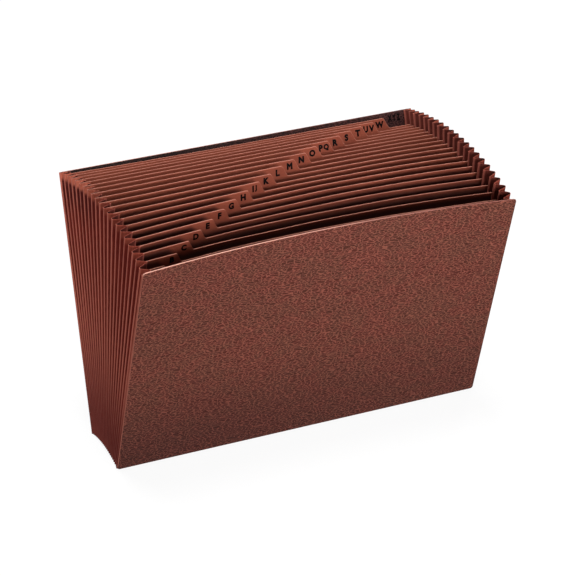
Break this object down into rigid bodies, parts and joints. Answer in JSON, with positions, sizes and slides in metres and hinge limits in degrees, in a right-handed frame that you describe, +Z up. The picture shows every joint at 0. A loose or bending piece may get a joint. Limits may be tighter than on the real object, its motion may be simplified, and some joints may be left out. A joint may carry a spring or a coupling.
{
  "type": "expanding file",
  "caption": "Open-topped expanding file, fanned out: pleated paper sides and foot between two boards, with step-cut divider cards that show an index tab for each pocket.",
  "frame": {"origin": "on the surface the file stands on, under its middle", "axes": "+X across the covers, +Y from the front cover to the back cover, +Z up"},
  "size_m": [0.381, 0.2263, 0.2653],
  "materials": {
    "cover_board": "pressed board with a fine leather grain, matt",
    "gusset_paper": "strong folded paper, matt",
    "divider_card": "smooth index card, matt"
  },
  "bodies": {
    "root": {"front_cover": "cover_board", "back_cover": "cover_board", "left_gusset": "gusset_paper", "right_gusset": "gusset_paper", "bottom_gusset": "gusset_paper", "divider_a": "divider_card", "divider_b": "divider_card", "divider_c": "divider_card", "divider_d": "divider_card", "divider_e": "divider_card", "divider_f": "divider_card", "divider_g": "divider_card", "divider_h": "divider_card", "divider_ij": "divider_card", "divider_k": "divider_card", "divider_l": "divider_card", "divider_m": "divider_card", "divider_n": "divider_card", "divider_o": "divider_card", "divider_pq": "divider_card", "divider_r": "divider_card", "divider_s": "divider_card", "divider_t": "divider_card", "divider_uv": "divider_card", "divider_w": "divider_card"}
  },
  "joints": []
}
